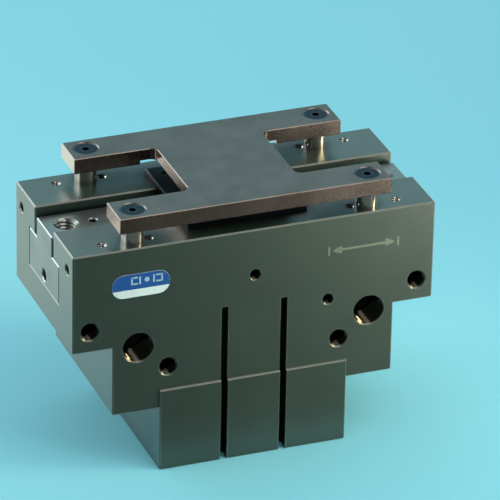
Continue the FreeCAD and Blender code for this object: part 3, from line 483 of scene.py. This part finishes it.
def thread_ridge(name, mouth, inward, radius, pitch, ridge, depth, steps):
    """A V-shaped ridge that winds down a hole's wall from just inside its mouth."""
    start_clean()
    bpy.ops.mesh.primitive_circle_add(vertices=4, radius=ridge, location=(0, 0, 0))
    piece = name_piece(name)
    edit_whole()
    bpy.ops.transform.resize(value=(1, pitch * RIDGE_HALF_WIDTH / ridge, 1))
    bpy.ops.transform.rotate(value=math.pi / 2, orient_axis="X", center_override=(0, 0, 0))
    bpy.ops.transform.translate(value=(radius, 0, pitch / 2))
    bpy.ops.object.mode_set(mode="OBJECT")
    winding = piece.modifiers.new("thread", "SCREW")
    winding.screw_offset = pitch
    winding.iterations = max(1, round(depth / pitch) - 1)
    winding.steps = winding.render_steps = steps
    winding.use_merge_vertices = True
    apply_modifier(winding)
    edit_whole()
    bpy.ops.mesh.fill_holes(sides=8)
    bpy.ops.mesh.select_all(action="SELECT")
    bpy.ops.mesh.normals_make_consistent(inside=False)
    bpy.ops.object.mode_set(mode="OBJECT")
    turned = Vector((0, 0, 1)).rotation_difference(inward).to_matrix().to_4x4()
    piece.matrix_world = Matrix.Translation(mouth) @ turned
    bpy.ops.object.shade_smooth_by_angle(angle=SMOOTH_UP_TO)
    return piece


def cut_threads(mouths, material, **sizes):
    """The same thread in several holes, modelled in the first and copied to the others.
    The mouths are given by the names of the new pieces."""
    (name, mouth), *others = mouths.items()
    first = thread_ridge(name, mouth, **sizes)
    ridges = [first] + [copy_to(first, other, place) for other, place in others]
    for ridge in ridges:
        dress(ridge, material)
    return ridges


def hole_radius(name):
    """Radius of a threaded hole, or of the holes of a bolt pattern, in the record."""
    sizes = mounts[name]["dims"]
    return sizes.get("r_mm", sizes.get("hole_r_mm")) / 1000


def hole_places(pattern):
    """Places of the holes of a bolt pattern in the record."""
    mount = mounts[pattern]
    middle, sizes = Vector(mount["pos_m"]), mount["dims"]
    across = sizes["spacing_x_mm"] / 2000
    along = sizes.get("spacing_y_mm", 0) / 2000
    sides = (-1, 1) if along else (0,)
    return [middle + Vector((side_x * across, side_y * along, 0))
            for side_x in (-1, 1) for side_y in sides]


def on_front(place):
    """A place moved along Y into the front face."""
    return Vector((place[0], FRONT, place[2]))


class GRIPPER_OT_port_threads(Operator):
    """Cut the pipe threads of the two air ports"""
    bl_idname = "gripper.port_threads"
    bl_label = "Port Threads"

    def execute(self, context):
        settings = context.scene.gripper_threads
        # Painted shade darkens the threads deep in the ports.
        cut = surface("cut_anodising", (0.055, 0.052, 0.042), rough=0.15, shade=0.009)
        mouths = {side + "_port_thread": on_front(mounts[side + "_air_port"]["pos_m"])
                  for side in SIDES}
        ridges = cut_threads(mouths, cut, inward=INTO_FRONT, radius=hole_radius("left_air_port"),
                             pitch=settings.port_pitch, ridge=settings.port_ridge,
                             depth=PORT_THREAD, steps=settings.steps)
        for ridge in ridges:
            settle(ridge, BODY)
        return {"FINISHED"}


class GRIPPER_OT_front_threads(Operator):
    """Cut the mounting threads and the two small threads of the front face"""
    bl_idname = "gripper.front_threads"
    bl_label = "Front Threads"

    def execute(self, context):
        settings = context.scene.gripper_threads
        # Painted shade darkens the threads deep in the holes.
        cut = surface("cut_thread", (0.032, 0.031, 0.026), rough=0.18, shade=0.006)
        mouths = {f"{pattern}_{side}": on_front(place)
                  for pattern in ("front_outer_threads", "front_inner_threads")
                  for side, place in zip(SIDES, hole_places(pattern))}
        ridges = cut_threads(mouths, cut, inward=INTO_FRONT,
                             radius=hole_radius("front_outer_threads"),
                             pitch=settings.big_pitch, ridge=settings.big_ridge,
                             depth=BIG_THREAD, steps=settings.steps)
        mouths = {name: on_front(mounts[name]["pos_m"])
                  for name in ("front_middle_thread", "front_right_thread")}
        ridges += cut_threads(mouths, cut, inward=INTO_FRONT,
                              radius=hole_radius("front_middle_thread"),
                              pitch=settings.small_pitch, ridge=settings.small_ridge,
                              depth=SMALL_THREAD, steps=settings.steps)
        for ridge in ridges:
            settle(ridge, BODY)
        return {"FINISHED"}


class GRIPPER_OT_rail_threads(Operator):
    """Cut the threads in the tops of the rails"""
    bl_idname = "gripper.rail_threads"
    bl_label = "Rail Threads"

    def execute(self, context):
        settings = context.scene.gripper_threads
        # Painted shade darkens the threads deep in the rail holes.
        cut = surface("cut_rail_thread", (0.60, 0.61, 0.60), rough=0.28, shade=0.0025)
        mouths = {f"{pattern}_{number}": Vector((place.x, place.y, RAIL_TOP))
                  for pattern in ("outer_rail_threads", "inner_rail_threads")
                  for number, place in enumerate(hole_places(pattern), start=1)}
        ridges = cut_threads(mouths, cut, inward=INTO_TOP,
                             radius=hole_radius("outer_rail_threads"),
                             pitch=settings.rail_pitch, ridge=settings.rail_ridge,
                             depth=RAIL_THREAD, steps=settings.steps)
        for ridge in ridges:
            settle(ridge, BODY)
        return {"FINISHED"}


class GRIPPER_OT_jaw_threads(Operator):
    """Cut the finger threads in the jaws"""
    bl_idname = "gripper.jaw_threads"
    bl_label = "Jaw Threads"

    def execute(self, context):
        settings = context.scene.gripper_threads
        bright = surface("cut_jaw_thread", (0.3, 0.31, 0.31), rough=0.28)
        mouths = {}
        for side in SIDES:
            name = side + "_jaw_thread"
            mouths[name] = Vector((mounts[name]["pos_m"][0], 0, JAW_TOP))
        ridges = cut_threads(mouths, bright, inward=INTO_TOP,
                             radius=hole_radius("left_jaw_thread"),
                             pitch=settings.jaw_pitch, ridge=settings.jaw_ridge,
                             depth=JAW_THREAD, steps=settings.steps)
        for ridge, body in zip(ridges, JAW_UNITS):
            settle(ridge, body)
        return {"FINISHED"}


def flat_shape(name, sides, place, long, wide, turn=0.0, corner=0.0):
    """A flat shape on the front face: an oblong, or a stretched circle with some sides."""
    start_clean()
    if sides == 4:
        bpy.ops.mesh.primitive_plane_add(size=1)
    else:
        bpy.ops.mesh.primitive_circle_add(vertices=sides, radius=0.5, fill_type="NGON")
    piece = name_piece(name)
    edit_whole()
    if turn:
        bpy.ops.transform.rotate(value=turn, orient_axis="Z", center_override=(0, 0, 0))
    bpy.ops.transform.resize(value=(long, wide, 1), center_override=(0, 0, 0))
    if corner:
        bpy.ops.mesh.bevel(offset=corner, segments=CORNER_STEPS, affect="VERTICES")
    bpy.ops.object.mode_set(mode="OBJECT")
    piece.rotation_euler = (math.pi / 2, 0, 0)
    piece.location = place
    return piece


def join_flat(pieces, name):
    """Makes one piece of several flat shapes."""
    start_clean()
    for piece in pieces:
        piece.select_set(True)
    bpy.context.view_layer.objects.active = pieces[0]
    bpy.ops.object.join()
    bake_place()
    return name_piece(name)


def thicken(piece, thickness, rim):
    """Gives a flat shape on the front face its thickness, outwards, and a soft rim."""
    sheet = piece.modifiers.new("sheet", "SOLIDIFY")
    sheet.thickness = thickness
    sheet.offset = 1.0
    apply_modifier(sheet)
    soft = piece.modifiers.new("rim", "BEVEL")
    soft.width = rim
    soft.segments = 2
    soft.limit_method = "ANGLE"
    apply_modifier(soft)


def printed(name, base):
    """Printed foil with a faint unevenness."""
    return surface(name, base, rough=0.35, metallic=0.0, coat=0.3, spread=0.06, grain=900.0,
                   grain_depth=4e-6)


class GRIPPER_OT_label(Operator):
    """Lay the label on the front face"""
    bl_idname = "gripper.label"
    bl_label = "Label"

    def execute(self, context):
        settings = context.scene.gripper_label
        middle = Vector((settings.across, FRONT, settings.height))
        skin = Vector((0, -settings.thickness, 0))
        lay_foil(settings, middle)
        print_field(settings, middle + skin)
        print_signs(settings, middle + skin * SIGN_LIFT)
        return {"FINISHED"}


def lay_foil(settings, middle):
    """The label's own foil."""
    foil = flat_shape("label_foil", 4, middle, settings.length, settings.width,
                      corner=settings.corner)
    thicken(foil, settings.thickness, rim=settings.thickness * 0.4)
    dress(foil, printed("label_white", settings.white))
    settle(foil, BODY)


def print_field(settings, middle):
    """The printed field, cut off straight above the foil's lower rim."""
    field = flat_shape("label_field", 4, middle, settings.length * PRINT_LONG,
                       settings.width * PRINT_WIDE, corner=settings.corner * PRINT_WIDE)
    bake_place()
    edit_whole()
    bpy.ops.mesh.bisect(plane_co=(0, 0, middle.z - FIELD_FOOT * settings.width),
                        plane_no=(0, 0, 1), clear_inner=True)
    bpy.ops.object.mode_set(mode="OBJECT")
    thicken(field, settings.ink, rim=settings.ink * 0.3)
    dress(field, printed("label_blue", settings.blue))
    settle(field, BODY)


def print_signs(settings, middle):
    """A plain pictogram: two brackets that face each other, and a dot between them."""
    long, wide = settings.length, settings.width
    spot = middle + Vector((0.10 * long, 0, 0.20 * wide))
    outer, inner, lip = 0.26 * long, 0.12 * long, 0.1 * long
    tall, thin, dot = 0.34 * wide, 0.03 * long, 0.204 * wide
    shapes = [flat_shape("sign_dot", 32, spot, dot, dot)]
    for side in (-1, 1):
        bar = spot + Vector((side * outer, 0, 0))
        shapes.append(flat_shape("sign_bar", 4, bar, thin, tall))
        for end in (-1, 1):
            place = bar + Vector((-side * lip / 2, 0, end * (tall - thin) / 2))
            shapes.append(flat_shape("sign_lip", 4, place, lip, thin))
        place = spot + Vector((side * inner, 0, 0))
        shapes.append(flat_shape("sign_inner", 4, place, thin, tall))
    signs = join_flat(shapes, "label_signs")
    thicken(signs, settings.ink, rim=settings.ink * 0.3)
    dress(signs, printed("label_sign", settings.sign))
    settle(signs, BODY)


class GRIPPER_OT_laser_mark(Operator):
    """Mark the double arrow of the stroke on the front face"""
    bl_idname = "gripper.laser_mark"
    bl_label = "Laser Mark"

    def execute(self, context):
        settings = context.scene.gripper_label
        spot = Vector((settings.mark_across, FRONT, settings.mark_height))
        long = settings.mark_length
        head, tall, line, gap = 0.16 * long, 0.15 * long, 0.04 * long, 0.045 * long
        shapes = [flat_shape("mark_line", 4, spot, long - 2 * head, line)]
        for side in (-1, 1):
            tip = spot + Vector((side * (long / 2 - 2 * head / 3), 0, 0))
            shapes.append(flat_shape("mark_head", 3, tip, head / TRIANGLE_HEIGHT,
                                     tall / TRIANGLE_WIDTH, turn=side * math.pi / 2))
            wall = spot + Vector((side * (long / 2 + gap), 0, 0))
            shapes.append(flat_shape("mark_wall", 4, wall, line, tall))
        mark = join_flat(shapes, "laser_mark")
        thicken(mark, settings.ink * 2, rim=settings.ink * 0.5)
        dress(mark, surface("marked_anodising", settings.mark, rough=0.45, metallic=0.2))
        settle(mark, BODY)
        return {"FINISHED"}


class GRIPPER_OT_studio(Operator):
    """Set up the camera, the pale floor and the soft lamps"""
    bl_idname = "gripper.studio"
    bl_label = "Studio"

    def execute(self, context):
        settings = context.scene.gripper_studio
        place_camera(context, settings)
        lay_floor(settings)
        light_room(context, settings)
        hang_lamps(settings)
        context.scene.view_settings.view_transform = "Standard"
        return {"FINISHED"}


def place_camera(context, settings):
    """Puts the camera where the photographer stood."""
    azimuth, elevation, roll = settings.azimuth, settings.elevation, settings.roll
    back = Vector((math.sin(azimuth) * math.cos(elevation),
                   -math.cos(azimuth) * math.cos(elevation), math.sin(elevation)))
    right = Vector((0, 0, 1)).cross(back).normalized()
    turned = Matrix((right, back.cross(right), back)).transposed()
    turned = turned @ Matrix.Rotation(roll, 3, "Z")
    spot = Vector(settings.aim) + back * settings.distance
    bpy.ops.object.camera_add(location=spot, rotation=turned.to_euler())
    camera = context.object
    camera.name = "photo_camera"
    camera.data.lens = settings.lens
    camera.data.sensor_width = 36.0
    camera.data.clip_start = 0.01
    camera.data.clip_end = 50.0
    context.scene.camera = camera


def lay_floor(settings):
    """A large pale sheet, with a painted reflection: metal sees it end in front and grow paler far
    behind, while the camera sees it plain.
    """
    bpy.ops.mesh.primitive_plane_add(size=FLOOR_SIZE, location=(0, 0, 0))
    floor = name_piece("studio_floor")
    material, tree, shader = new_material("pale_sheet")
    place = on_object(tree)
    plain = blend_colours(tree, noise(tree, place, 2.5, 2.0),
                          scaled(settings.floor_colour, 0.96), settings.floor_colour)
    # Painted reflection: only glossy rays see the dim room in front and the paler sheet far
    # behind.
    along = add_node(tree, "SeparateXYZ", {"Vector": place}).outputs["Y"]
    end = -settings.sheet_reflection_end
    in_front = ramp(tree, along, 1.0, 0.0, at=(end - SHEET_FADE, end))
    far = ramp(tree, along, 0.0, 1.0, at=FAR_FADE)
    mirror = blend_colours(tree, in_front, plain, settings.dim_room)
    mirror = blend_colours(tree, far, mirror, settings.far_sheet_reflection)
    mirrored = add_node(tree, "LightPath").outputs["Is Glossy Ray"]
    tint = blend_colours(tree, mirrored, plain, mirror)
    tree.links.new(tint, shader.inputs["Base Color"])
    shader.inputs["Roughness"].default_value = 0.85
    shader.inputs["Specular IOR Level"].default_value = 0.2
    dress(floor, material)


def light_room(context, settings):
    """Even light from all round. Metal sees a pale wall behind and a dim room in front, and
    the camera sees the floor's colour past its edge."""
    world = context.scene.world or bpy.data.worlds.new("studio")
    context.scene.world = world
    world.use_nodes = True
    tree = world.node_tree
    tree.nodes.clear()
    way = add_node(tree, "SeparateXYZ",
                   {"Vector": add_node(tree, "TexCoord").outputs["Generated"]})
    low = ramp(tree, way.outputs["Z"], 1.0, 0.0, at=WALL_RISE)
    wall = blend_colours(tree, low, settings.pale_wall, settings.floor_colour)
    behind = ramp(tree, way.outputs["Y"], 0.0, 1.0, at=ROOM_TURN)
    room = blend_colours(tree, behind, settings.dim_room, wall)
    ray = add_node(tree, "LightPath")
    seen = blend_colours(tree, ray.outputs["Is Glossy Ray"], settings.soft_light, room)
    seen = blend_colours(tree, ray.outputs["Is Camera Ray"], seen, settings.floor_colour)
    sky = add_node(tree, "Background", {"Color": seen})
    out = add_node(tree, "OutputWorld")
    tree.links.new(sky.outputs[0], out.inputs["Surface"])


def hang_lamp(name, way, distance, size, power, tint, aim=LAMP_AIM, spread=180):
    """A square soft lamp, hung a distance away from what it is aimed at."""
    way = Vector(way).normalized()
    bpy.ops.object.light_add(type="AREA", location=Vector(aim) + way * distance)
    lamp = bpy.context.object
    lamp.name = name
    lamp.rotation_euler = (-way).to_track_quat("-Z", "Y").to_euler()
    lamp.data.shape = "SQUARE"
    lamp.data.size = size
    lamp.data.energy = power
    lamp.data.color = tint
    lamp.data.spread = math.radians(spread)
    lamp.visible_camera = False


def hang_lamps(settings):
    """Soft lamps behind, on the left and overhead, and two small ones front right."""
    hang_lamp("window_lamp", way=(-0.50, 0.82, 0.28), distance=1.7, size=1.2,
              power=settings.window_power, tint=(1.0, 0.97, 0.92))
    hang_lamp("left_lamp", way=(-0.93, 0.20, 0.30), distance=1.5, size=0.8,
              power=settings.left_power, tint=(1.0, 0.92, 0.80))
    hang_lamp("top_lamp", way=(0.31, -0.46, 0.83), distance=1.6, size=1.0,
              power=settings.top_power, tint=(1.0, 0.95, 0.86))
    hang_lamp("front_lamp", way=(0.55, -0.80, -0.05), distance=0.30, size=0.12,
              power=settings.front_power, tint=(0.95, 0.94, 0.80),
              aim=(0.08, -0.035, 0.08), spread=75)
    hang_lamp("warm_lamp", way=(0.84, -0.46, 0.28), distance=0.45, size=0.14,
              power=settings.warm_power, tint=(1.0, 0.78, 0.46),
              aim=(0.06, 0.0, 0.10), spread=45)


class GRIPPER_PT_looks(Panel):
    """Lists the gripper's looks in the sidebar"""
    bl_idname = "GRIPPER_PT_looks"
    bl_label = "Parallel Gripper"
    bl_space_type = "VIEW_3D"
    bl_region_type = "UI"
    bl_category = "Gripper"

    def draw(self, context):
        layout = self.layout
        for title, group, makers in PANEL_ROWS:
            box = layout.box()
            box.label(text=title)
            settings = getattr(context.scene, group)
            for name in settings.bl_rna.properties.keys():
                if name not in ("rna_type", "name"):
                    box.prop(settings, name)
            for maker in makers:
                box.operator(maker.bl_idname)


PANEL_ROWS = (
    ("Finishes", "gripper_finish", (GRIPPER_OT_finish_body, GRIPPER_OT_finish_jaws,
                                    GRIPPER_OT_finish_piston, GRIPPER_OT_finish_pusher)),
    ("Threads", "gripper_threads", (GRIPPER_OT_port_threads, GRIPPER_OT_front_threads,
                                    GRIPPER_OT_rail_threads, GRIPPER_OT_jaw_threads)),
    ("Label and Mark", "gripper_label", (GRIPPER_OT_label, GRIPPER_OT_laser_mark)),
    ("Studio", "gripper_studio", (GRIPPER_OT_studio,)),
)
GROUPS = {"gripper_finish": FinishSettings, "gripper_threads": ThreadSettings,
          "gripper_label": LabelSettings, "gripper_studio": StudioSettings}
MAKERS = tuple(maker for row in PANEL_ROWS for maker in row[2])


def register():
    """Adds the settings, the operators and the panel."""
    for name, group in GROUPS.items():
        bpy.utils.register_class(group)
        setattr(bpy.types.Scene, name, PointerProperty(type=group))
    for made in (*MAKERS, GRIPPER_PT_looks):
        bpy.utils.register_class(made)


def unregister():
    """Takes them away again."""
    for made in (GRIPPER_PT_looks, *reversed(MAKERS)):
        bpy.utils.unregister_class(made)
    for name, group in reversed(GROUPS.items()):
        delattr(bpy.types.Scene, name)
        bpy.utils.unregister_class(group)


def main():
    """Makes every piece and the studio, in order."""
    register()
    for maker in MAKERS:
        family, step = maker.bl_idname.split(".")
        getattr(getattr(bpy.ops, family), step)()


if __name__ == "__main__":
    main()
